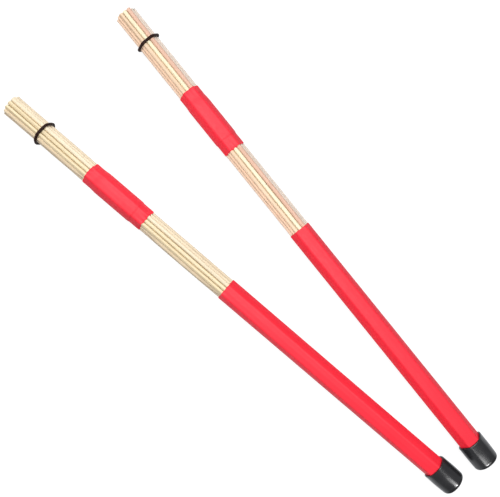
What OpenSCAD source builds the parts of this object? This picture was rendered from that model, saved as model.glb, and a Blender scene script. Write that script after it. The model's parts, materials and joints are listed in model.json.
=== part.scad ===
// Pair of bundled-dowel drum rods lying on a table in a shallow V.
// Each rod is nineteen thin wooden dowels in a hexagonal bundle, held by a long
// shrunk-on grip sleeve and a short band sleeve over a tape binding, with a
// sliding tuning ring near the tip and a soft cap on the butt.
// Millimetres, +Z up, table at Z = 0. A rod's own axis runs from its tip to its butt,
// and every station along a rod is measured from the tip ends of its dowels.

/* [Dowels] */
// Diameter of one dowel
dowel_d = 3; // [2.6:0.1:3.2]
// Length of one dowel
dowel_len = 397.6; // [395:0.1:399]
// Smallest gap between two neighbouring dowels
dowel_gap = 0.03; // [0.02:0.01:0.06]
// Chamfer on the ends of each dowel
dowel_chamfer = 0.25; // [0.1:0.05:0.5]

/* [Lay of the bundles] */
// Twist of the left bundle over its whole length, in degrees
left_twist = 20; // [0:1:24]
// Roll of the left bundle at the middle of its length, in degrees
left_roll = 3.5; // [-10:0.5:10]
// Twist of the right bundle over its whole length, in degrees
right_twist = 0; // [0:1:24]
// Roll of the right bundle at the middle of its length, in degrees
right_roll = 0; // [-10:0.5:10]

/* [Sleeves] */
// Wall of the grip and band sleeves
sleeve_wall = 0.35; // [0.3:0.05:0.6]
// Ease between a sleeve and the dowels inside it
sleeve_ease = 0.05; // [0.03:0.01:0.1]
// Where the grip sleeve starts
grip_start = 193.8; // [170:0.1:220]
// Where the band sleeve starts
band_start = 71.5; // [60:0.5:90]
// Length of the band sleeve
band_len = 51; // [40:0.5:70]
// Length of the tape binding under the band sleeve
binding_len = 32; // [16:0.5:36]
// Thickness of the tape binding
binding_wall = 0.3; // [0.2:0.02:0.6]

/* [Tuning rings] */
// Thickness of the ring's cord
ring_cord = 1.8; // [1.2:0.1:2.2]
// Ease between the ring and the bundle over its whole travel
ring_ease = 0.12; // [0.1:0.01:0.3]
// Where the left ring sits
left_ring_at = 30.5; // [10:0.1:60]
// Where the right ring sits
right_ring_at = 26.2; // [10:0.1:60]

/* [End caps] */
// Outside radius of the cap
cap_r = 9.1; // [8.8:0.1:11]
// Length of the cap
cap_len = 19; // [14:0.5:30]
// Where the closed end of the cap is
rod_len = 400; // [399.5:0.1:402]
// Thickness of the closed end
cap_end_wall = 2.1; // [0.5:0.1:2.2]
// Rounding of the edge at the closed end
cap_fillet = 3; // [1:0.1:4]

/* [Placing of the pair] */
// Left rod's tip on the table, X
left_tip_x = -164.16; // [-200:0.01:-120]
// Left rod's tip on the table, Y
left_tip_y = 97.92; // [60:0.01:140]
// Left rod's heading from tip to butt, in degrees
left_heading = -40.61; // [-60:0.01:-20]
// Right rod's tip on the table, X
right_tip_x = -87.08; // [-120:0.01:-40]
// Right rod's tip on the table, Y
right_tip_y = 163.76; // [120:0.01:200]
// Right rod's heading from tip to butt, in degrees
right_heading = -51.33; // [-70:0.01:-41]

/* [Hidden] */
$fn = 72;
LEFT = 0;
RIGHT = 1;
sides = ["left", "right"];
dowel_count = 19;

// Index 0 is the centre dowel, 1 to 6 the inner ring, 7 to 18 the outer ring.
dowel_names = [
    for (i = [0 : dowel_count - 1])
        i == 0 ? "dowel_centre"
        : i < 7 ? str("dowel_inner_", i)
        : str("dowel_outer_", i < 16 ? "0" : "", i - 6)
];
bound_names = ["grip_sleeve", "band_sleeve", "band_binding", "end_cap", "tuning_ring"];

twist = [left_twist, right_twist];
roll_mid = [left_roll, right_roll];
ring_at = [left_ring_at, right_ring_at];
tip = [[left_tip_x, left_tip_y], [right_tip_x, right_tip_y]];
heading = [left_heading, right_heading];
dowel_r = dowel_d / 2;

// Stations of the band's parts
band_end = band_start + band_len;
binding_start = band_start + (band_len - binding_len) / 2;
binding_end = binding_start + binding_len;
shoulder = 0.6;
cap_start = rod_len - cap_len;

// How far a sleeve stands proud at the bundle's corners
corner_proud = 0.006;
// How much thinner the stretched cord is round a corner
ring_thin = 0.01;
// Nearest the ring comes to the tip and to the band
ring_first = 9;
ring_last = band_start - ring_cord / 2 - 1.9;

// Straight dowels in a twisted bundle lie closest together at the middle of their length,
// so the spacing at the ends is opened to leave the gap there.
function pitch_end(s) = (dowel_d + dowel_gap) / cos(twist[s] / 2);
function turn_at(s, x) = (2 * x / dowel_len - 1) * tan(twist[s] / 2);
function roll_at(s, x) = roll_mid[s] + atan(turn_at(s, x));
function pitch_at(s, x) =
    pitch_end(s) * cos(twist[s] / 2) * sqrt(1 + pow(turn_at(s, x), 2));

// Extra ease that an untwisted outline needs around a bundle turned by half a span
function twist_ease(s, half_span) =
    pitch_end(s) * sin(abs(roll_at(s, dowel_len / 2 + half_span) - roll_mid[s]));

// Places in the hexagonal bundle, for a spacing of one: corners lie at 30, 90, 150 ...
function polar(r, a) = [r * cos(a), r * sin(a)];
function spot(i) =
    i == 0 ? [0, 0]
    : i < 7 ? polar(1, 30 + 60 * (i - 1))
    : polar(i % 2 == 1 ? 2 : sqrt(3), 30 + 30 * (i - 7));
function turned(p, a) = [p[0] * cos(a) - p[1] * sin(a), p[0] * sin(a) + p[1] * cos(a)];
function dowel_end(s, i, x) = concat(turned(spot(i) * pitch_end(s), roll_at(s, x)), [x]);

// Ring's inner growth over the dowels, and how far it reaches below the rod's axis
function ring_grow(s) =
    ring_ease + twist_ease(s, max(ring_last - ring_at[s], ring_at[s] - ring_first));
function ring_reach(s) =
    2 * pitch_end(s) * cos(30 - abs(roll_at(s, ring_at[s])))
    + dowel_r + ring_grow(s) + ring_cord;

// A rod rests on its ring and on the rim of its cap.
cap_rim = cap_start + 0.4;
function slope(s) = atan((cap_r - ring_reach(s)) / (cap_rim - ring_at[s]));
function tip_height(s) = ring_reach(s) / cos(slope(s)) - ring_at[s] * tan(slope(s));

// Both caps take the larger of the two sleeved bundles.
sleeved_r = max([for (s = [LEFT, RIGHT]) 2 * pitch_end(s) + dowel_r])
    + sleeve_ease + sleeve_wall + corner_proud;
cap_bore_r = sleeved_r + sleeve_ease;
cap_wall = cap_r - cap_bore_r;

dowel_colour = [[0.97, 0.91, 0.75], [0.96, 0.86, 0.74]];
sleeve_colour = [0.94, 0.18, 0.22];
binding_colour = [0.86, 0.82, 0.72];
ring_colour = [0.09, 0.08, 0.08];
cap_colour = [0.13, 0.13, 0.14];

// Puts a rod, built upright from its tip, in its place on the table.
module laid(s) {
    translate([tip[s][0], tip[s][1], tip_height(s)])
        rotate([0, 0, heading[s]])
            rotate([0, 90 - slope(s), 0])
                children();
}

// Outline around the bundle, grown by g over the dowels
module bundle_outline(pitch, g) {
    r = dowel_r + g;
    polygon([
        for (k = [0 : 5]) for (e = [-30, 30])
            polar(2 * pitch, 30 + 60 * k) + polar(r, 30 + 60 * k + e)
    ]);
    for (k = [0 : 5]) translate(polar(2 * pitch, 30 + 60 * k)) circle(r + corner_proud);
}

// Tube around the bundle between two stations, untwisted
module bundle_tube(pitch, from, to, g_in, g_out) {
    translate([0, 0, from])
        linear_extrude(to - from)
            difference() {
                bundle_outline(pitch, g_out);
                bundle_outline(pitch, g_in);
            }
}

module dowel(s, i) {
    a = dowel_end(s, i, 0);
    b = dowel_end(s, i, dowel_len);
    d = b - a;
    c = dowel_chamfer;
    color(dowel_colour[s])
        translate(a)
            rotate([0, acos(d[2] / norm(d)), atan2(d[1], d[0])])
                rotate_extrude()
                    polygon([
                        [0, 0], [dowel_r - c, 0], [dowel_r, c],
                        [dowel_r, dowel_len - c], [dowel_r - c, dowel_len], [0, dowel_len]
                    ]);
}

// Long sleeve over the rear half; it follows the bundle's twist.
module grip_sleeve(s) {
    pitch = pitch_end(s);
    run = dowel_len - grip_start;
    span = roll_at(s, dowel_len) - roll_at(s, grip_start);
    color(sleeve_colour)
        if (twist[s] == 0)
            rotate(roll_mid[s])
                bundle_tube(pitch, grip_start, dowel_len, sleeve_ease, sleeve_ease + sleeve_wall);
        else
            translate([0, 0, grip_start])
                rotate(roll_at(s, grip_start))
                    linear_extrude(run, twist = -span, slices = 16, $fn = 24)
                        difference() {
                            bundle_outline(pitch, sleeve_ease + sleeve_wall);
                            bundle_outline(pitch, sleeve_ease);
                        }
}

// Ease of the band's parts, which are straight while the bundle may turn inside them
function band_ease(s) = sleeve_ease + twist_ease(s, band_len / 2);

// Short sleeve, swollen in the middle where it covers the binding
module band_sleeve(s) {
    pitch = pitch_at(s, band_start);
    g0 = band_ease(s);
    g1 = g0 + binding_wall + 0.03;
    color(sleeve_colour)
        rotate(roll_at(s, band_start + band_len / 2)) {
            bundle_tube(pitch, band_start, binding_start, g0, g0 + sleeve_wall);
            bundle_tube(pitch, binding_start - shoulder, binding_start, g0, g1 + sleeve_wall);
            bundle_tube(pitch, binding_start, binding_end, g1, g1 + sleeve_wall);
            bundle_tube(pitch, binding_end, binding_end + shoulder, g0, g1 + sleeve_wall);
            bundle_tube(pitch, binding_end, band_end, g0, g0 + sleeve_wall);
        }
}

// Tape wound round the bundle under the band sleeve
module band_binding(s) {
    g0 = band_ease(s);
    color(binding_colour)
        rotate(roll_at(s, band_start + band_len / 2))
            bundle_tube(pitch_at(s, band_start), binding_start + 0.05, binding_end - 0.05,
                        g0, g0 + binding_wall);
}

// Elastic ring that grips the bundle and slides along it: straight runs and round corners
module tuning_ring(s) {
    corner = 2 * pitch_end(s);
    bend = dowel_r + ring_grow(s) + ring_cord / 2;
    color(ring_colour)
        translate([0, 0, ring_at[s]])
            rotate(roll_at(s, ring_at[s]))
                for (k = [0 : 5]) rotate(60 * k) {
                    translate([corner * cos(30), corner * sin(30), 0])
                        rotate_extrude(angle = 60)
                            translate([bend, 0]) circle(ring_cord / 2 - ring_thin, $fn = 48);
                    translate([corner * cos(30) + bend, 0, 0])
                        rotate([90, 0, 0])
                            cylinder(h = corner + 0.04, r = ring_cord / 2, center = true, $fn = 48);
                }
}

// Soft cup over the butt, with a rounded lip and a flat, rounded-off end
module end_cap(s) {
    f = cap_fillet;
    w = cap_wall;
    color(cap_colour)
        translate([0, 0, cap_start])
            rotate_extrude()
                difference() {
                    union() {
                        translate([0, w / 2]) square([cap_r, cap_len - f - w / 2]);
                        square([cap_r - f, cap_len]);
                        translate([cap_r - f, cap_len - f]) circle(f);
                        translate([cap_bore_r + w / 2, w / 2]) circle(w / 2);
                    }
                    translate([0, -1]) square([cap_bore_r, cap_len - cap_end_wall + 1]);
                    translate([-2 * f, 0]) square([2 * f, cap_len]);
                }
}

for (s = [LEFT, RIGHT]) laid(s) {
    for (i = [0 : dowel_count - 1])
        dowel(s, i);
    grip_sleeve(s);
    band_sleeve(s);
    band_binding(s);
    end_cap(s);
    tuning_ring(s);
}
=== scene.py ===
"""A pair of bundled-dowel drum rods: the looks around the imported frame.

Every piece is built in its rod's own axes, in millimetres: X runs from the tip to the butt,
Z points up, and a station is a distance from the tip. The object's matrix then lays it in
the shared frame.
"""

import json
import math
import random

import bpy
import numpy as np
from mathutils import Matrix, Vector, noise


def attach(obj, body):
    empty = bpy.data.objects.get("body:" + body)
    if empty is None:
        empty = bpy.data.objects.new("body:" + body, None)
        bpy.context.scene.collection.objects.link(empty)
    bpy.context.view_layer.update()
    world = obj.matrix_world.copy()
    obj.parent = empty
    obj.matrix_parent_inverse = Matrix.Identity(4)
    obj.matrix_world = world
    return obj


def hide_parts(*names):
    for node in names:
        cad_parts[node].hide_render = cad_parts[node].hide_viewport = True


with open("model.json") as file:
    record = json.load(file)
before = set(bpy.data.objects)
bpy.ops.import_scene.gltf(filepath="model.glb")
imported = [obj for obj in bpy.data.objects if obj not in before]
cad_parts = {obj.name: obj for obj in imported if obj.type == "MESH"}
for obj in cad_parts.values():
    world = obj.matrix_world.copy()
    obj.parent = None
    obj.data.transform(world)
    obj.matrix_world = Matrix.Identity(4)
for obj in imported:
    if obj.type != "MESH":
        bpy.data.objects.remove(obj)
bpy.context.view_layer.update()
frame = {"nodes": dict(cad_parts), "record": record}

MM = 0.001
IMAGE_W, IMAGE_H = 500, 497

# ---------------------------------------------------------------------------------------
# Sizes, as in the construction model (mm)

DOWEL_R = 1.5
DOWEL_LEN = 397.6
SPACING = 3.03
BINDING = (81.0, 113.0)
GRIP_START = 193.8
ROD_END = 400.0
CAP_R = 9.25
CORD_R = 0.88
CORD_FLAT = 1.13

mounts = {m["name"]: m for m in frame["record"]["mounts"]}


class Rod:
    """One rod's place and lay."""

    def __init__(self, side, twist, lie, ring_at, ring_lean, ring_ease, band, cap, tips, nudge):
        self.side = side
        self.band, self.cap, self.tips, self.nudge = band, cap, tips, nudge
        self.body = side + "_rod"
        self.ring_body = side + "_ring"
        self.tan_half = math.tan(math.radians(twist) / 2)
        self.lie = lie
        self.ring_at, self.ring_lean, self.ring_ease = ring_at, ring_lean, ring_ease
        face = mounts[side + "_butt_face"]
        u = Vector(face["axis"]).normalized()
        w = u.cross(Vector((0, 0, 1))).normalized()
        n = w.cross(u)
        self.matrix = Matrix((u, -w, n)).transposed().to_4x4()
        self.matrix.translation = Vector(face["pos_m"]) - u * ROD_END * MM

    def turn(self, x):
        return (2 * np.asarray(x, float) / DOWEL_LEN - 1) * self.tan_half

    def roll(self, x):
        """Turn of the bundle at station x, eased between the stations it is given at."""
        at, degrees = zip(*self.lie)
        return np.radians(sum(np.interp(np.asarray(x, float) + d, at, degrees) for d in (-18, -9, 0, 9, 18)) / 5)

    def pitch(self, x):
        return SPACING * np.sqrt(1 + self.turn(x) ** 2)

    def lay(self, x, c, s):
        """Points of the bundle's cross-section (c, s), turned to the bundle's roll at station x."""
        a = math.pi + self.roll(x)
        up, across = c * np.cos(a) - s * np.sin(a), c * np.sin(a) + s * np.cos(a)
        return np.stack(np.broadcast_arrays(np.asarray(x, float), -across, up), axis=-1)


RODS = [
    Rod("left", 18, ((-40, -9.5), (15, -4.8), (50, -1.5), (97, 3.0), (158, 5.4), (215, 9.9), (340, 15.5), (440, 18.5)), 30.5, (0.0, -0.13), 0.11, (71.7, 122.3), (381.1, 400.0), {90: 0.95, 60: 0.7, 30: 0.4, 0: -0.1, -30: 0.1, -60: -0.4, -90: -0.1},
        {60: (0.55, 0.55, 0.76, 0.44), 90: (-0.18, 0.0, 0.12, 0.0), -90: (-0.2, 0.0, 0.0, 0.0)}),
    Rod("right", -4, ((-40, 3.2), (440, -1.2)), 26.2, (-0.024, 0.04), 0.06, (71.2, 122.4), (380.7, 399.5), {-120: 2.6, -90: 2.5, -60: 0.9, -30: 0.3, 0: 0.0, 30: 0.2, 60: -0.2, 90: 0.25},
        {}),
]


def smooth(a, b, x):
    t = np.clip((np.asarray(x, float) - a) / (b - a), 0, 1)
    return t * t * (3 - 2 * t)


# ---------------------------------------------------------------------------------------
# Materials


def rgb(r, g, b):
    """Linear colour from a display colour of 0 to 255."""
    def lin(v):
        v /= 255
        return v / 12.92 if v <= 0.04045 else ((v + 0.055) / 1.055) ** 2.4
    return (lin(r), lin(g), lin(b), 1.0)


class Shader:
    """A Principled material and short ways to wire its nodes."""

    def __init__(self, name, **values):
        self.mat = bpy.data.materials.new(name)
        self.mat.use_nodes = True
        self.tree = self.mat.node_tree
        self.bsdf = next(n for n in self.tree.nodes if n.type == "BSDF_PRINCIPLED")
        for key, value in values.items():
            self.bsdf.inputs[key.replace("_", " ")].default_value = value

    def node(self, kind, **props):
        n = self.tree.nodes.new("ShaderNode" + kind)
        for key, value in props.items():
            setattr(n, key, value)
        return n

    def put(self, source, target):
        self.tree.links.new(source, target)

    def attribute(self, name, out="Vector"):
        return self.node("Attribute", attribute_name=name, attribute_type="GEOMETRY").outputs[out]

    def object_mm(self):
        m = self.node("Mapping")
        m.inputs["Scale"].default_value = (1000, 1000, 1000)
        self.put(self.node("TexCoord").outputs["Object"], m.inputs["Vector"])
        return m.outputs[0]

    def noise(self, vector, scale, detail=3.0, rough=0.55, shift=(0, 0, 0), twist=0.0):
        m = self.node("Mapping")
        m.inputs["Scale"].default_value = scale
        m.inputs["Location"].default_value = shift
        self.put(vector, m.inputs["Vector"])
        n = self.node("TexNoise")
        n.inputs["Scale"].default_value = 1.0
        n.inputs["Detail"].default_value = detail
        n.inputs["Roughness"].default_value = rough
        n.inputs["Distortion"].default_value = twist
        self.put(m.outputs[0], n.inputs["Vector"])
        return n.outputs[0]

    def cells(self, vector, scale, shift=(0, 0, 0)):
        m = self.node("Mapping")
        m.inputs["Scale"].default_value = scale
        m.inputs["Location"].default_value = shift
        self.put(vector, m.inputs["Vector"])
        n = self.node("TexVoronoi")
        n.inputs["Scale"].default_value = 1.0
        self.put(m.outputs[0], n.inputs["Vector"])
        return n.outputs["Distance"]

    def ramp(self, fac, *stops):
        n = self.node("ValToRGB")
        e = n.color_ramp.elements
        while len(e) < len(stops):
            e.new(0.5)
        for element, (place, colour) in zip(e, stops):
            element.position = place
            element.color = colour if hasattr(colour, "__len__") else (colour,) * 3 + (1,)
        self.put(fac, n.inputs[0])
        return n.outputs[0]

    def span(self, fac, a, b, to_a, to_b):
        n = self.node("MapRange", interpolation_type="SMOOTHSTEP")
        for key, value in (("From Min", a), ("From Max", b), ("To Min", to_a), ("To Max", to_b)):
            n.inputs[key].default_value = value
        self.put(fac, n.inputs["Value"])
        return n.outputs[0]

    def sums(self, kind, a, b):
        n = self.node("Math", operation=kind)
        for socket, v in zip(n.inputs, (a, b)):
            if isinstance(v, (int, float)):
                socket.default_value = v
            else:
                self.put(v, socket)
        return n.outputs[0]

    def mix(self, fac, a, b, kind="MIX"):
        n = self.node("Mix", data_type="RGBA", blend_type=kind)
        for socket, v in ((n.inputs[0], fac), (n.inputs[6], a), (n.inputs[7], b)):
            if isinstance(v, (int, float)):
                socket.default_value = v
            elif isinstance(v, tuple):
                socket.default_value = v
            else:
                self.put(v, socket)
        return n.outputs[2]

    def bump(self, height, strength, distance_mm, under=None):
        n = self.node("Bump")
        n.inputs["Strength"].default_value = strength
        n.inputs["Distance"].default_value = distance_mm * MM
        self.put(height, n.inputs["Height"])
        if under is not None:
            self.put(under, n.inputs["Normal"])
        return n.outputs[0]

    def finish(self, colour=None, roughness=None, normal=None):
        for key, value in (("Base Color", colour), ("Roughness", roughness), ("Normal", normal)):
            if value is not None:
                self.put(value, self.bsdf.inputs[key])
        return self.mat


def shade(colour, k, warm=1.0):
    """A darker or lighter tone of a colour; warm under 1 keeps more red than blue."""
    return (colour[0] * k, colour[1] * k * (0.5 + 0.5 * warm), colour[2] * k * warm, 1.0)


def wood(name, base, gap_shade_tone):
    """Sanded bare wood with grain along the dowel, from its own grain coordinates in mm."""
    s = Shader(name, Specular_IOR_Level=0.3)
    g = s.attribute("grain")
    broad = s.noise(g, (0.011, 0.22, 0.22), 2.0)
    streak = s.noise(g, (0.02, 1.1, 1.1), 4.0, 0.6, (3.1, 0.4, 8.0), 0.25)
    fibre = s.noise(g, (0.09, 6.5, 6.5), 3.0, 0.6, (9.0, 2.0, 5.0))
    pores = s.noise(g, (0.33, 8.0, 8.0), 1.0, 0.5, (1.7, 7.7, 2.4))
    tone = s.ramp(streak, (0.28, shade(base, 0.88, 0.92)), (0.47, base), (0.75, shade(base, 1.05, 1.03)))
    tone = s.mix(1.0, tone, s.ramp(broad, (0.3, (0.95, 0.935, 0.91, 1)), (0.7, (1.02, 1.02, 1.03, 1))), "MULTIPLY")
    tone = s.mix(1.0, tone, s.ramp(fibre, (0.3, (0.94, 0.93, 0.91, 1)), (0.62, (1.02, 1.02, 1.02, 1))), "MULTIPLY")
    tone = s.mix(1.0, tone, s.ramp(pores, (0.64, (1, 1, 1, 1)), (0.72, (0.94, 0.915, 0.88, 1))), "MULTIPLY")
    # Painted shade: the wood turns towards its darker gap colour where the next dowel lies near
    tone = s.mix(s.attribute("groove", "Fac"), tone, gap_shade_tone, "MULTIPLY")
    rough = s.span(fibre, 0.3, 0.7, 0.62, 0.46)
    normal = s.bump(fibre, 0.12, 0.05)
    normal = s.bump(s.span(pores, 0.62, 0.72, 1.0, 0.0), 0.12, 0.04, normal)
    return s.finish(tone, rough, normal)


def end_grain(name, base):
    """Sawn end of a dowel: rings, open vessels and saw marks."""
    s = Shader(name, Specular_IOR_Level=0.2)
    g = s.attribute("grain")
    vessels = s.cells(g, (0.4, 4.2, 4.2))
    rings = s.noise(g, (0.1, 0.35, 2.6), 3.0, 0.5, (2.0, 5.0, 1.0), 0.8)
    saw = s.noise(g, (0.1, 0.5, 7.0), 2.0, 0.5, (4.0, 1.0, 9.0))
    tone = s.ramp(rings, (0.3, shade(base, 0.56, 0.74)), (0.7, shade(base, 0.84, 0.9)))
    tone = s.mix(1.0, tone, s.ramp(vessels, (0.12, (0.62, 0.54, 0.46, 1)), (0.34, (1, 1, 1, 1))), "MULTIPLY")
    tone = s.mix(1.0, tone, s.ramp(saw, (0.35, (0.9, 0.9, 0.88, 1)), (0.65, (1.03, 1.03, 1.03, 1))), "MULTIPLY")
    normal = s.bump(saw, 0.4, 0.05)
    normal = s.bump(vessels, 0.3, 0.05, normal)
    return s.finish(tone, s.span(saw, 0.3, 0.7, 0.8, 0.62), normal)


def red_sleeve():
    """Satin shrink film: slight mottling, stretch lines along the rod, scuffed ridges."""
    s = Shader("red_satin_sleeve", Specular_IOR_Level=0.4)
    o = s.object_mm()
    mottle = s.noise(o, (0.05, 0.16, 0.16), 3.0)
    lines = s.noise(o, (0.03, 1.8, 1.8), 3.0, 0.6, (5.0, 0.3, 2.0))
    peel = s.noise(o, (1.6, 2.2, 2.2), 2.0, 0.5, (0.0, 4.0, 7.0))
    scuff = s.noise(o, (0.35, 1.3, 1.3), 5.0, 0.7, (8.0, 1.0, 3.0))
    wear = s.attribute("wear", "Fac")
    tone = s.ramp(mottle, (0.3, rgb(240, 32, 52)), (0.7, rgb(243, 36, 56)))
    tone = s.mix(1.0, tone, s.ramp(lines, (0.3, (0.985, 0.97, 0.97, 1)), (0.65, (1.0, 1.02, 1.02, 1))), "MULTIPLY")
    rubbed = s.sums("MULTIPLY", wear, s.span(scuff, 0.5, 0.72, 0.0, 0.35))
    tone = s.mix(rubbed, tone, rgb(240, 92, 98))
    rough = s.sums("ADD", s.span(scuff, 0.3, 0.75, 0.49, 0.61), s.sums("MULTIPLY", wear, 0.05))
    normal = s.bump(lines, 0.05, 0.05)
    normal = s.bump(peel, 0.1, 0.03, normal)
    return s.finish(tone, rough, normal)


def rubber():
    """Near-black elastic ring with a dull bloom and specks of dust."""
    s = Shader("black_ring_rubber", Specular_IOR_Level=0.12)
    o = s.object_mm()
    bloom = s.noise(o, (0.6, 0.6, 0.6), 4.0)
    grain = s.noise(o, (5.0, 5.0, 5.0), 2.0, 0.6, (2.0, 2.0, 6.0))
    dust = s.noise(o, (3.2, 3.2, 3.2), 1.0, 0.5, (7.0, 1.0, 1.0))
    tone = s.ramp(bloom, (0.3, (0.022, 0.0070, 0.0045, 1)), (0.7, (0.029, 0.0115, 0.0080, 1)))
    tone = s.mix(s.span(dust, 0.68, 0.78, 0.0, 0.25), tone, (0.14, 0.125, 0.11, 1))
    return s.finish(tone, s.span(bloom, 0.3, 0.7, 0.42, 0.6), s.bump(grain, 0.25, 0.03))


def vinyl():
    """Dip-moulded cap: charcoal vinyl, faint runs along it, rubbed at the end."""
    s = Shader("black_cap_vinyl", Specular_IOR_Level=0.5)
    o = s.object_mm()
    cloud = s.noise(o, (0.22, 0.3, 0.3), 3.0)
    runs = s.noise(o, (0.07, 0.9, 0.9), 3.0, 0.55, (1.0, 6.0, 4.0))
    peel = s.noise(o, (1.5, 1.5, 1.5), 3.0, 0.5, (4.0, 4.0, 0.0))
    scuff = s.noise(o, (1.1, 2.4, 2.4), 5.0, 0.72, (3.0, 9.0, 2.0))
    wear = s.attribute("wear", "Fac")
    tone = s.ramp(cloud, (0.3, (0.0066, 0.0066, 0.0074, 1)), (0.7, (0.0104, 0.0104, 0.0114, 1)))
    tone = s.mix(s.sums("MULTIPLY", wear, s.span(scuff, 0.52, 0.75, 0.0, 0.5)), tone, (0.10, 0.10, 0.102, 1))
    rough = s.sums("ADD", s.span(runs, 0.3, 0.7, 0.215, 0.25), s.sums("MULTIPLY", wear, 0.06))
    normal = s.bump(runs, 0.02, 0.08)
    normal = s.bump(peel, 0.012, 0.05, normal)
    return s.finish(tone, rough, normal)


def cloth_tape():
    """Woven tape under the band sleeve."""
    s = Shader("binding_cloth_tape", Specular_IOR_Level=0.15)
    o = s.object_mm()
    warp = s.noise(o, (2.6, 0.7, 0.7), 2.0)
    weft = s.noise(o, (0.6, 2.4, 2.4), 2.0, 0.5, (3.0, 3.0, 3.0))
    weave = s.sums("MAXIMUM", warp, weft)
    tone = s.ramp(weave, (0.4, (0.30, 0.26, 0.19, 1)), (0.7, (0.52, 0.47, 0.36, 1)))
    return s.finish(tone, s.span(weave, 0.4, 0.7, 0.95, 0.8), s.bump(weave, 0.5, 0.12))


RED, RUBBER, VINYL, TAPE = red_sleeve(), rubber(), vinyl(), cloth_tape()

# Wood tones: cream dowels on the left rod, cream, pink and peach mixed on the right one
TONES = {
    "cream": rgb(238, 221, 185),
    "pale": rgb(240, 225, 197),
    "straw": rgb(246, 227, 196),
    "biscuit": rgb(222, 202, 176),
    "white": rgb(228, 212, 197),
    "pink": rgb(226, 186, 164),
    "butter": rgb(248, 238, 207),
    "tan": rgb(236, 208, 178),
    "peach": rgb(240, 205, 175),
    "clay": rgb(238, 208, 184),
    "ash": rgb(229, 213, 187),
    "chalk": rgb(238, 223, 209),
}
YELLOWED = ("cream", "pale", "straw", "biscuit", "ash")
# Each wood gets a darker second colour, painted into the gaps between dowels as shade
WOOD = {k: wood("wood_" + k, v, (0.52, 0.45, 0.33, 1) if k in YELLOWED else (0.52, 0.46, 0.38, 1)) for k, v in TONES.items()}
ENDS = {k: end_grain("end_grain_" + k, v) for k, v in TONES.items()}

# ---------------------------------------------------------------------------------------
# Mesh helpers


def make(name, rod, points, faces, materials, slots=None, **attributes):
    """A smooth-shaded mesh object from points in the rod's axes."""
    mesh = bpy.data.meshes.new(name)
    mesh.from_pydata((np.asarray(points) * MM).tolist(), [], faces)
    for m in materials:
        mesh.materials.append(m)
    mesh.polygons.foreach_set("use_smooth", [True] * len(mesh.polygons))
    if slots is not None:
        mesh.polygons.foreach_set("material_index", slots)
    for key, values in attributes.items():
        values = np.asarray(values, np.float32)
        if values.ndim == 2:
            mesh.attributes.new(key, "FLOAT_VECTOR", "POINT").data.foreach_set("vector", values.ravel())
        else:
            mesh.attributes.new(key, "FLOAT", "POINT").data.foreach_set("value", values)
    mesh.validate()
    mesh.update()
    obj = bpy.data.objects.new(name, mesh)
    bpy.context.scene.collection.objects.link(obj)
    obj.matrix_world = rod.matrix
    return obj


def skin(rings, segments, loop=False, flip=False):
    """Quads between successive rings of points."""
    faces = []
    for k in range(rings if loop else rings - 1):
        a, b = k * segments, ((k + 1) % rings) * segments
        for j in range(segments):
            i = (j + 1) % segments
            q = (a + j, a + i, b + i, b + j)
            faces.append(q[::-1] if flip else q)
    return faces


def outline(arc=8, flat=16):
    """The bundle's outline: (centre for a spacing of one, outward normal, sag shape, corner weight, crown) per point."""
    centre, normal, sag, corner, crown = [], [], [], [], []
    for k in range(6):
        a = math.radians(30 + 60 * k)
        here = np.array((2 * math.cos(a), 2 * math.sin(a)))
        b = math.radians(90 + 60 * k)
        there = np.array((2 * math.cos(b), 2 * math.sin(b)))
        for j in range(arc):
            t = a + math.radians(-30 + 60 * j / arc)
            centre.append(here)
            normal.append((math.cos(t), math.sin(t)))
            sag.append(0.0)
            corner.append(math.sin(math.pi * j / arc))
            crown.append(0.0)
        m = math.radians(60 + 60 * k)
        for j in range(flat):
            f = j / flat
            centre.append(here + (there - here) * f)
            normal.append((math.cos(m), math.sin(m)))
            sag.append(0.5 - 0.5 * math.cos(4 * math.pi * f))
            corner.append(0.0)
            crown.append(4 * f * (1 - f) * (1.0 if k in (2, 5) else 2.3))
    return np.array(centre), np.array(normal), np.array(sag), np.array(corner), np.array(crown)


CENTRE, NORMAL, SAG, CORNER, CROWN = outline()
AROUND = len(CENTRE)


def ring_points(rod, x, grow, sag=0.0):
    """One turn of the bundle's outline at station x (or one station per point), grown over the dowels."""
    x = np.broadcast_to(np.asarray(x, float), (AROUND,))
    off = DOWEL_R + grow - sag * SAG
    p = CENTRE * rod.pitch(x)[:, None] + NORMAL * np.broadcast_to(off, (AROUND,))[:, None]
    return rod.lay(x, p[:, 0], p[:, 1])


def ripple(seed, x, size, amount):
    """Slow unevenness of a stretched skin, around the outline at station x."""
    out = np.empty(AROUND)
    for j, (c, n) in enumerate(zip(CENTRE, NORMAL)):
        p = (c * SPACING + n * 2) / size
        out[j] = noise.noise(Vector((x / (2.2 * size) + seed, p[0], p[1])))
    return out * amount


# ---------------------------------------------------------------------------------------
# Dowels


def spot(i):
    """(radius for a spacing of one, angle) of dowel i in the bundle."""
    if i == 0:
        return 0.0, 0.0
    if i < 7:
        return 1.0, math.radians(30 + 60 * (i - 1))
    return (2.0 if i % 2 else math.sqrt(3)), math.radians(30 + 30 * (i - 7))


def dowel_name(i):
    return "dowel_centre" if i == 0 else f"dowel_inner_{i}" if i < 7 else f"dowel_outer_{i - 6:02d}"


# Tone of each outer dowel by its angle from the top at mid-length, towards the lower left of the view
LEFT_TONES = {-90: "ash", -60: "pale", -30: "pale", 0: "cream", 30: "cream", 60: "straw", 90: "biscuit",
              120: "straw", 150: "cream", 180: "pale", -150: "cream", -120: "cream"}
RIGHT_TONES = {-90: "chalk", -60: "white", -30: "pink", 0: "butter", 30: "tan", 60: "peach", 90: "clay",
               120: "tan", 150: "pink", 180: "butter", -150: "tan", -120: "peach"}

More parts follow.
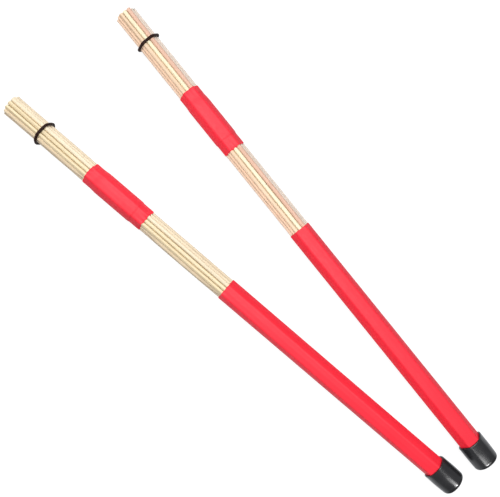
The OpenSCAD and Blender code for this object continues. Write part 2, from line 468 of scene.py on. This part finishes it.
# Painted shadow lines along single dowels beside their gaps: (place across from the middle, width, darkness, from
# station, to station)
PAINTED_GAP_SHADOWS = {("left", 30): ((0.5, 0.3, 0.85, -20, 34), (0.38, 0.3, 0.56, 34, 420)),
          ("left", 0): ((0.35, 0.35, 0.35, -20, 28),),
          ("right", 30): ((0.62, 0.28, 0.85, -20, 27),)}
# Gaps where the painted shade is made weaker: (side, 1 for the lower left, share, from station, to station)
WEAKER_GAP_SHADE = {("left", 60): ((-1, 0.9, -20, 420),), ("left", -30): ((1, 0.7, -20, 30),), ("left", 0): ((-1, 0.7, -20, 30),),
         ("right", 0): ((-1, 0.5, -20, 420), (1, 0.6, 34, 76)), ("right", -30): ((1, 0.5, -20, 420),), ("right", 30): ((-1, 0.6, 34, 76),),
         ("right", 60): ((1, 0.6, -20, 420),), ("right", 90): ((-1, 0.6, -20, 420),),
         ("right", -60): ((-1, 0.7, -20, 420),), ("right", -90): ((1, 0.7, -20, 420),)}


def dowel(rod, i):
    r = random.Random(f"{rod.side} dowel {i}")
    radius, angle = spot(i)
    outer = i >= 7
    top = round(math.degrees(angle) + 180) % 360
    top = top - 360 if top > 180 else top
    if outer:
        tone = (LEFT_TONES if rod.side == "left" else RIGHT_TONES)[top]
    else:
        tone = r.choice(["cream", "pale", "straw"] if rod.side == "left" else ["tan", "butter", "peach", "pink"])
    sides = 24 if outer else 16
    tip = r.uniform(0.0, 0.14) + (0.3 if rod.side == "right" else 0.0)
    if i:
        tip += rod.tips.get(top, 0.0) * (1.0 if outer else 0.7)
    end = DOWEL_LEN
    ease = 0.1
    edge = ((0.0, -ease), (0.015, -0.062), (0.04, -0.03), (0.08, -0.009), (0.13, 0.0))
    xs = [tip + a for a, _ in edge]
    rs = [DOWEL_R + b for _, b in edge]
    middle = [1.5, 3, 5] + list(np.arange(8, 71, 3.0)) + [71.5, 78, 96, 114, 122.4] + list(np.arange(125, 194, 3.0)) + [194, 240, 290, 340, 380]
    if not outer:
        middle = [2, 5, 10, 20, 40, 71, 121, 194, 290, 380]
    xs += middle
    rs += [DOWEL_R] * len(middle)
    xs += [end - a for a, _ in edge[::-1]]
    rs += [DOWEL_R + b for _, b in edge[::-1]]
    xs, rs = np.array(xs), np.array(rs)

    # The bundle opens a little ahead of the ring, and each bare run bows by its own small amount.
    open_up = 0.22 * np.clip((rod.ring_at - xs) / rod.ring_at, 0, 1) ** 6 * radius / 2
    bow_a, bow_b = r.uniform(0.0, 0.09), r.uniform(0.0, 0.11)
    bow = bow_a * np.sin(np.pi * np.clip((xs - rod.ring_at) / (rod.band[0] - rod.ring_at), 0, 1)) ** 2
    bow += bow_b * np.sin(np.pi * np.clip((xs - rod.band[1]) / (GRIP_START - rod.band[1]), 0, 1)) ** 2
    side = r.uniform(-0.045, 0.045) * np.sin(np.pi * np.clip((xs - rod.band[1]) / (GRIP_START - rod.band[1]), 0, 1)) ** 2
    side += r.uniform(-0.05, 0.05) * np.clip((rod.ring_at - xs) / rod.ring_at, 0, 1) ** 4
    if not outer:
        bow, side = bow * 0, side * 0
    reach = radius * rod.pitch(xs) + open_up + bow
    c = reach * math.cos(angle) - side * math.sin(angle)
    s = reach * math.sin(angle) + side * math.cos(angle)
    axis = rod.lay(xs, c, s)
    if outer and top in rod.nudge:
        # A few dowels lie off their places where nothing grips them: (across, up) by the tip, then in mid rod.
        near = 1 - smooth(rod.band[0] - 10, rod.band[0] - 0.5, xs)
        far = smooth(rod.band[1] + 0.5, rod.band[1] + 20, xs) * (1 - smooth(GRIP_START - 20, GRIP_START - 0.5, xs))
        move = rod.nudge[top]
        axis[:, 1] -= move[0] * near + move[2] * far
        axis[:, 2] += move[1] * near + move[3] * far

    turn = r.uniform(0, 2 * math.pi)
    oval = r.uniform(0.0, 0.014)
    th = np.arange(sides) * 2 * math.pi / sides
    swell = 1 + oval * np.cos(2 * (th - turn))
    ring = np.stack((np.zeros(sides), np.cos(th) * swell, np.sin(th) * swell), axis=-1)
    points = (axis[:, None, :] + ring[None] * rs[:, None, None]).reshape(-1, 3)
    local = np.broadcast_to(ring[None] * rs[:, None, None], (len(xs), sides, 3)).reshape(-1, 3).copy()

    # Painted shade in the gaps between dowels: nearness of the next dowel's surface, at each point around
    lie, *others = (rod.lay(0.0, q * SPACING * math.cos(b), q * SPACING * math.sin(b)) for q, b in map(spot, (i, *range(19))))
    gap = [min(np.linalg.norm(lie + v * DOWEL_R - o) for o in others if np.linalg.norm(lie - o) > 0.1) - DOWEL_R for v in ring]
    gap = np.maximum(gap, 0)
    groove = np.tile(0.6 * np.exp(-gap / 0.5), (len(xs), 1))
    if outer and (top in (30, 60) if rod.side == "left" else top == 30):
        # Painted shade is made deeper in the gaps towards the lower left: all along on one rod, ahead of the band on
        # the other.
        lee_shade = np.exp(-gap / 0.95) * smooth(-0.5, 0.1, -ring[:, 1])
        reach_x = np.ones(len(xs)) if rod.side == "left" else 1 - smooth(40, 70, xs)
        groove = np.maximum(groove, lee_shade[None] * reach_x[:, None])
    if outer:
        facing = -ring[:, 1]
        # The painted gap shade is weakened on the listed sides
        for side_to, share, x_from, x_to in WEAKER_GAP_SHADE.get((rod.side, top), ()):
            where = smooth(x_from - 3, x_from + 3, xs) * (1 - smooth(x_to - 3, x_to + 3, xs))
            groove = groove * (1 - share * where[:, None] * smooth(0.0, 0.5, side_to * facing)[None])
        # Painted shadow lines along the listed dowels, beside their gaps
        for at, wide, dark, x_from, x_to in PAINTED_GAP_SHADOWS.get((rod.side, top), ()):
            where = smooth(x_from - 3, x_from + 3, xs) * (1 - smooth(x_to - 3, x_to + 3, xs))
            streak = dark * np.exp(-((facing - at) / wide) ** 2) * (ring[:, 2] > 0)
            groove = np.maximum(groove, where[:, None] * streak[None])
    groove = groove.ravel()
    local[:, 0] = np.repeat(xs, sides)
    faces = skin(len(xs), sides)
    slots = [0] * len(faces)

    # Sawn ends: a ring inside the edge and a middle point, slightly dished
    for at, x_end, step in ((0, tip, 1), (len(xs) - 1, end, -1)):
        first = len(points)
        extra, extra_local = [], []
        for k in (0.66, 0.33):
            dish = 0.02 * (1 - k) * step
            q = axis[at] + ring * (DOWEL_R - ease) * k + np.array((dish, 0, 0))
            extra.append(q)
            ql = ring * (DOWEL_R - ease) * k
            ql = ql + np.array((x_end, 0, 0))
            extra_local.append(ql)
        extra.append((axis[at] + np.array((0.02 * step, 0, 0)))[None])
        extra_local.append(np.array(((x_end, 0.0, 0.0),)))
        points = np.concatenate((points, *extra))
        groove = np.concatenate((groove, np.zeros(len(points) - len(groove))))
        local = np.concatenate((local, *extra_local))
        rim = [at * sides + j for j in range(sides)]
        mid = [first + j for j in range(sides)]
        inn = [first + sides + j for j in range(sides)]
        hub = first + 2 * sides
        new = []
        for j in range(sides):
            i2 = (j + 1) % sides
            new += [(rim[j], rim[i2], mid[i2], mid[j]), (mid[j], mid[i2], inn[i2], inn[j]), (inn[j], inn[i2], hub)]
        if step == 1:
            new = [f[::-1] for f in new]
        faces += new
        slots += [1] * len(new)

    lean = r.uniform(-0.012, 0.012)
    local[:, 1] += lean * local[:, 0]
    local += np.array([r.uniform(0, 900) for _ in range(3)])
    name = f"{rod.side}_{dowel_name(i)}"
    piece = make(name + "_wood", rod, points, faces, [WOOD[tone], ENDS[tone]], slots, grain=local, groove=groove)
    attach(piece, rod.body)
    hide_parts(name)
    return piece


# ---------------------------------------------------------------------------------------
# Sleeves


def sleeve(rod, name, stations, grow, wall, sag, seed, edge_wave, inner_stations, node, flat, teeth):
    """A closed shell: outer skin, rounded edges and inner skin. grow(x) and sag(x) shape the outside,
    and the edges run on between the dowels by the two lengths in teeth."""
    a, b = stations[0], stations[-1]
    wave = ripple(seed + 40, 0, 3.0, edge_wave)

    def shift(x):
        first, last = (wave - length * SAG for length in teeth)
        return x + first * math.exp(-(x - a) / 1.5) - last * math.exp(-(b - x) / 1.5)

    rings, wear = [], []
    lip = ((0.16, 0.0), (0.06, -0.07), (0.0, -0.17))
    outer = [(a + d, h) for d, h in lip[::-1]] + [(x, 0.0) for x in stations[1:-1]] + [(b - d, h) for d, h in lip]
    for x, h in outer:
        g = grow(x) + h + ripple(seed, x, 7.0, 0.03) + ripple(seed + 9, x, 2.5, 0.008)
        g = g + 0.13 * CROWN * float(smooth(a, a + 6, x) * (1 - smooth(flat - 8, flat, x)))
        rings.append(ring_points(rod, shift(x), g, sag(x)))
        near = math.exp(-min(x - a, b - x) / 0.8)
        wear.append(np.clip(CORNER * 0.9 + near, 0, 1))
    for x in [b, *inner_stations[::-1], a]:
        inset = 0.05 if x in (a, b) else 0.0
        g = grow(x) - wall
        xx = x - inset if x == b else x + inset
        rings.append(ring_points(rod, shift(xx), g, sag(x) * 0.8))
        wear.append(np.zeros(AROUND))
    points = np.concatenate(rings)
    faces = skin(len(rings), AROUND, loop=True)
    piece = make(name, rod, points, faces, [RED], wear=np.concatenate(wear))
    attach(piece, rod.body)
    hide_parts(node)
    return piece


def grip(rod):
    a, b = GRIP_START, DOWEL_LEN - 0.3
    stations = [a, a + 0.4, a + 0.8, a + 1.4, a + 2.2, a + 3.4] + list(np.arange(a + 6, 380, 4.0)) + [380, 384, 390, b]

    def grow(x):
        if rod.side == "left":
            return 0.56 - 0.27 * (x - a) / (b - a)
        return 0.40 + 0.02 * math.exp(-(x - a) / 4)

    def sag(x):
        return 0.04 + 0.16 * math.exp(-(x - a) / 1.6)

    return sleeve(rod, rod.side + "_grip_sleeve_film", stations, grow, 0.25, sag, 3.0 if rod.side == "left" else 21.0,
                  0.12, [a + 3, a + 40, a + 100, a + 150, b - 4], rod.side + "_grip_sleeve", rod.cap[0] - 3, (0.12, 0.0))


def band(rod):
    a, b = rod.band
    low = 0.42 if rod.side == "left" else 0.38
    high = 0.80 if rod.side == "left" else 0.74
    c, d = BINDING
    stations = [a, a + 0.4, a + 0.8, a + 1.4, a + 2.2, a + 3.4, a + 5, c - 3.2, c - 2.4, c - 1.6, c - 0.8, c, c + 0.8, c + 1.6, c + 2.4]
    stations += list(np.arange(c + 4, d - 3, 2.5))
    stations += [d - 1.6, d - 0.9, d - 0.5, d - 0.1, d + 0.3, d + 0.7, d + 1.1, d + 2, b - 5, b - 3.4, b - 2.2, b - 1.4, b - 0.8, b - 0.4, b]

    def grow(x):
        return low + (high - low) * float(smooth(c - 3.2, c + 2.4, x) * (1 - smooth(d - 0.9, d + 1.1, x)))

    def sag(x):
        e = min(x - a, b - x)
        return 0.03 + 0.46 * math.exp(-e / 1.7)

    return sleeve(rod, rod.side + "_band_sleeve_film", stations, grow, 0.33, sag, 7.0 if rod.side == "left" else 33.0,
                  0.25, [a + 2, c - 3.2, c - 1.8, c - 0.4, c + 1.0, c + 2.4, (c + d) / 2, d - 0.9, d + 0.1, d + 1.1, b - 2], rod.side + "_band_sleeve", b, (0.32, 0.48))


# ---------------------------------------------------------------------------------------
# Tuning ring and end cap


def tuning_ring(rod):
    steps = 20
    beta = np.arange(steps) * 2 * math.pi / steps
    x0 = rod.ring_at
    off = DOWEL_R + rod.ring_ease + CORD_R
    p = CENTRE * rod.pitch(x0) + NORMAL * off
    d = np.linalg.norm(p, axis=1)
    rounder = 0.5 if rod.side == "left" else 0.1
    face = NORMAL * (1 - rounder) + p / d[:, None] * rounder
    face /= np.linalg.norm(face, axis=1)[:, None]
    out = rod.lay(np.full(AROUND, x0), face[:, 0], face[:, 1]) - np.array((x0, 0, 0))
    p *= (1 + (d.max() / d - 1) * rounder)[:, None]
    if rod.nudge:
        flank = face @ np.array((-0.5, -math.sqrt(0.75))) > 0.86
        p += face * (0.38 * np.minimum(CROWN / 2.3, 1) * flank)[:, None]
    if rod.side == "left":
        p += face * (0.25 * np.clip(out[:, 1], 0, 1) ** 2 - 0.08 * np.clip(-out[:, 1], 0, 1) ** 4)[:, None]
    lean_y, lean_z = rod.ring_lean
    core = rod.lay(np.full(AROUND, x0), p[:, 0], p[:, 1])
    core[:, 0] += lean_y * core[:, 1] + lean_z * core[:, 2]
    rings = []
    for j in range(AROUND):
        thick = CORD_R * (1 + 0.012 * noise.noise(Vector((core[j, 1] / 3, core[j, 2] / 3, x0))))
        seam = np.where(np.abs(np.cos(beta)) > 0.999, 0.02, 0.0)
        rad = thick + seam
        rings.append(core[j] + np.cos(beta)[:, None] * out[j] * rad[:, None]
                     + np.sin(beta)[:, None] * np.array((1.0, 0, 0)) * rad[:, None] * CORD_FLAT)
    points = np.concatenate(rings)
    name = rod.side + "_tuning_ring"
    piece = make(name + "_rubber", rod, points, skin(AROUND, steps, loop=True, flip=True), [RUBBER])
    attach(piece, rod.ring_body)
    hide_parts(name)
    return piece


def end_cap(rod):
    x0, x1 = rod.cap
    f = 3.2
    seat = 0.2 if rod.side == "left" else 0.0

    def hexed(x, grow):
        p = CENTRE * rod.pitch(x) + NORMAL * (DOWEL_R + grow)
        return p

    def ring(x, radius, share):
        """A turn of the outside: a circle of that radius, drawn towards the bundle's hexagon by share."""
        p = hexed(x, 1.6)
        d = np.linalg.norm(p, axis=1)
        rho = (1 - share) * radius + share * (d - (CAP_R - radius))
        q = p / d[:, None] * np.minimum(rho, CAP_R + 0.02)[:, None]
        return lip(rod.lay(np.full(AROUND, x), q[:, 0], q[:, 1]))

    def lip(turn):
        """The mouth reaches further along the rod at the sides than on top."""
        turn[:, 1] += seat
        turn[:, 2] *= np.where(turn[:, 2] < 0, 0.984, 1.0)
        turn[:, 0] -= (0.8 if rod.side == "left" else 1.6) * (turn[:, 1] / CAP_R) ** 2 * np.exp(-(turn[:, 0] - x0) / 3)
        return turn

    def inside(x, grow):
        p = hexed(x, grow)
        return lip(rod.lay(np.full(AROUND, x), p[:, 0], p[:, 1]))

    rings, wear = [], []
    floor = x1 - 2.0
    for x, g in ((floor, 0.5), (395.0, 0.5), (388.0, 0.5), (383.0, 0.52), (x0 + 0.5, 0.52), (x0 + 0.2, 0.56), (x0 + 0.05, 0.66)):
        rings.append(inside(x, g))
        wear.append(np.zeros(AROUND))

    firm = 0.05 if rod.side == "left" else 0.22

    def hexness(x):
        return 0.46 - (0.46 - firm) * float(smooth(x0, x0 + 8, x)) - (firm - 0.06) * float(smooth(x1 - 4, x1 - 1, x))

    outer = [(x0 + 0.0, CAP_R - 0.55), (x0 + 0.05, CAP_R - 0.3), (x0 + 0.2, CAP_R - 0.12), (x0 + 0.45, CAP_R - 0.03), (x0 + 0.8, CAP_R)]
    def barrel(x):
        return CAP_R - 0.22 * max(0.0, (x - x0 - 6) / (x1 - f - x0 - 6)) ** 2

    outer += [(x, barrel(x)) for x in np.arange(x0 + 2, x1 - f - 0.2, 1.0)]
    full = barrel(x1 - f)
    for k in range(13):
        a = math.radians(3 + 87 * k / 12)
        outer.append((x1 - f + f * math.sin(a), full - f + f * math.cos(a)))
    outer += [(x1 - 0.03, 4.6), (x1 - 0.09, 3.2), (x1 - 0.12, 2.0), (x1 - 0.1, 1.0), (x1 - 0.06, 0.45)]
    for x, radius in outer:
        h = hexness(x) * float(smooth(0, 6, radius))
        rings.append(ring(x, radius, h))
        edge = math.exp(-((x - (x1 - 1.0)) / 1.2) ** 2) * (radius > 4)
        wear.append(np.full(AROUND, min(1.0, edge + 0.6 * math.exp(-(x - x0) / 0.6) * (radius > 4))))
    count = len(rings)
    middle_in = np.array(((floor, seat, 0.0),))
    middle_out = np.array(((x1 - 0.05, seat, 0.0),))
    points = np.concatenate((*rings, middle_in, middle_out))
    wear = np.concatenate((*wear, (0.0, 0.0)))
    faces = skin(count, AROUND)
    hub_in, hub_out = count * AROUND, count * AROUND + 1
    last = (count - 1) * AROUND
    for j in range(AROUND):
        i = (j + 1) % AROUND
        faces.append((i, j, hub_in))
        faces.append((last + j, last + i, hub_out))
    name = rod.side + "_end_cap"
    piece = make(name + "_vinyl", rod, points, faces, [VINYL], wear=wear)
    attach(piece, rod.body)
    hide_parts(name)
    return piece


# ---------------------------------------------------------------------------------------
# Build

for rod in RODS:
    rod.pieces = [dowel(rod, i) for i in range(19)] + [grip(rod), band(rod), tuning_ring(rod)]
    rod.end = end_cap(rod)
    wrap = frame["nodes"][rod.side + "_band_binding"]
    wrap.data.materials.clear()
    wrap.data.materials.append(TAPE)

# ---------------------------------------------------------------------------------------
# Floor, light and camera

scene = bpy.context.scene
scene.view_settings.view_transform = "Standard"
scene.view_settings.look = "None"


def studio_floor(name, z, base, glow):
    shader = Shader(name, Specular_IOR_Level=0.0, Roughness=1.0, Emission_Strength=glow)
    shader.bsdf.inputs["Base Color"].default_value = (base, base, base, 1)
    shader.bsdf.inputs["Emission Color"].default_value = (1, 1, 1, 1)
    mesh = bpy.data.meshes.new(name)
    mesh.from_pydata([(-4, -4, z), (4, -4, z), (4, 4, z), (-4, 4, z)], [], [(0, 1, 2, 3)])
    mesh.materials.append(shader.mat)
    obj = bpy.data.objects.new(name, mesh)
    scene.collection.objects.link(obj)
    return obj


# The floor as seen is lit up to a bare white; the one under it only throws light back at the rods.
floor = studio_floor("studio_floor", -0.0001, 0.25, 0.88)
floor.visible_diffuse = floor.visible_glossy = floor.visible_shadow = False
bounce = studio_floor("studio_floor_bounce", -0.0003, 0.42, 0.0)
bounce.visible_camera = bounce.visible_glossy = bounce.visible_shadow = False

world = bpy.data.worlds.new("studio")
world.use_nodes = True
sky = world.node_tree.nodes
height = sky.new("ShaderNodeSeparateXYZ")
level = sky.new("ShaderNodeMapRange")
for key, value in (("From Min", -0.08), ("From Max", 0.08), ("To Min", 1.0), ("To Max", 0.44)):
    level.inputs[key].default_value = value
beyond = sky.new("ShaderNodeVectorMath")
beyond.operation = "DOT_PRODUCT"
beyond.inputs[1].default_value = (0.70, -0.715, 0.0)
flag = sky.new("ShaderNodeMapRange")
for key, value in (("From Min", 0.48), ("From Max", 0.7), ("To Min", 1.0), ("To Max", 0.12)):
    flag.inputs[key].default_value = value
both = sky.new("ShaderNodeMath")
both.operation = "MULTIPLY"
wires = world.node_tree.links
around = sky.new("ShaderNodeTexCoord").outputs["Generated"]
wires.new(around, height.inputs[0])
wires.new(around, beyond.inputs[0])
wires.new(height.outputs["Z"], level.inputs["Value"])
wires.new(beyond.outputs["Value"], flag.inputs["Value"])
wires.new(level.outputs[0], both.inputs[0])
wires.new(flag.outputs[0], both.inputs[1])
wires.new(both.outputs[0], sky["Background"].inputs["Strength"])
sky["Background"].inputs["Color"].default_value = (0.97, 0.99, 1.03, 1)
scene.world = world


def softbox(name, at, towards, size, watts, only=None):
    data = bpy.data.lights.new(name, "AREA")
    data.shape = "RECTANGLE"
    data.size, data.size_y = size
    data.energy = watts
    lamp = bpy.data.objects.new(name, data)
    lamp.location = at
    lamp.rotation_mode = "QUATERNION"
    lamp.rotation_quaternion = (Vector(towards) - Vector(at)).to_track_quat("-Z", "Y")
    scene.collection.objects.link(lamp)
    if only:
        lit = bpy.data.collections.new(name + "_lit")
        for piece in only:
            lit.objects.link(piece)
        lamp.light_linking.receiver_collection = lit
    return lamp


def beside(name, rod, station, ahead, over, distance, size, watts, only):
    """A softbox on one rod, tilted ahead towards its butt and over towards the lower left (degrees)."""
    at = rod.matrix @ Vector((station * MM, 0, 0))
    u, w = rod.matrix.to_3x3() @ Vector((1, 0, 0)), rod.matrix.to_3x3() @ Vector((0, -1, 0))
    way = (u * math.tan(math.radians(ahead)) + w * math.tan(math.radians(over)) + Vector((0, 0, 1))).normalized()
    return softbox(name, at + way * distance, at, size, watts, only)


softbox("key", (-0.07, 0.22, 1.3), (0, 0, 0), (0.85, 0.85), 13.6)
for rod in RODS:
    left = rod.side == "left"
    beside(rod.side + "_fill", rod, 240, 0, -27 if left else 24, 1.2, (0.6, 0.6), 3.6, rod.pieces[:19] + rod.pieces[21:] + [rod.end])
    beside(rod.side + "_fill_band", rod, 97, 0, -22 if left else 20, 1.2, (0.6, 0.6), 4.2, [rod.pieces[20]])
    beside(rod.side + "_fill_grip", rod, 300, 0, 2 if left else 20, 1.2, (0.6, 0.6), 3.8, [rod.pieces[19]])
    beside(rod.side + "_glint", rod, 392, 38, 1.0 if left else 10, 1.4, (0.5 if left else 1.0, 0.5), 13.5 if left else 14, [rod.end])
    beside(rod.side + "_spark", rod, 392, 42, 0 if left else 15, 1.4, (0.16, 0.16), 10 if left else 14, [rod.end])

cam = bpy.data.cameras.new("camera")
cam.sensor_fit = "HORIZONTAL"
cam.sensor_width = 36
cam.lens = 706.87 * 36 / IMAGE_W
cam.clip_start, cam.clip_end = 0.01, 20
camera = bpy.data.objects.new("camera", cam)
right = Vector((0.9985882, -0.00333856, 0.05301384))
down = Vector((0.00035372, -0.99758288, -0.06948584))
ahead = Vector((0.05311768, 0.06940649, -0.9961733))
camera.matrix_world = Matrix.Translation((-0.0261266, -0.0343993, 0.4937285)) @ Matrix((right, -down, -ahead)).transposed().to_4x4()
scene.collection.objects.link(camera)
scene.camera = camera
